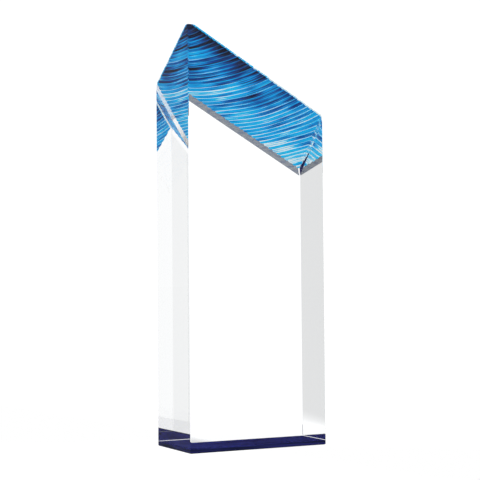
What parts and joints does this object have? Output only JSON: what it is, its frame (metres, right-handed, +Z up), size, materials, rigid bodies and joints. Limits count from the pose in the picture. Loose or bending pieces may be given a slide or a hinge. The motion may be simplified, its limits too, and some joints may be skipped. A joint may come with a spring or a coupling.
{
  "type": "column trophy",
  "caption": "Clear acrylic column award with a slanted top, carved in curved strokes and lacquered blue, on a thin blue acrylic slab.",
  "frame": {"origin": "middle of the underside of the base slab, at the bottom centre of the bounding box", "axes": "+Z up along the column's height. -Y is the wide front face, -X the narrow left face. The peak stands over the front left corner, at -X and -Y, and the top falls from it to +X and to +Y."},
  "size_m": [0.076, 0.0396, 0.21],
  "materials": {
    "clear_acrylic": "polished",
    "blue_lacquer": "glossy, streaked from azure to navy",
    "clear_adhesive": "clear",
    "blue_acrylic": "polished"
  },
  "bodies": {
    "root": {"column": "clear_acrylic", "top_coat": "blue_lacquer", "base_bond": "clear_adhesive", "base_plate": "blue_acrylic"}
  },
  "joints": []
}
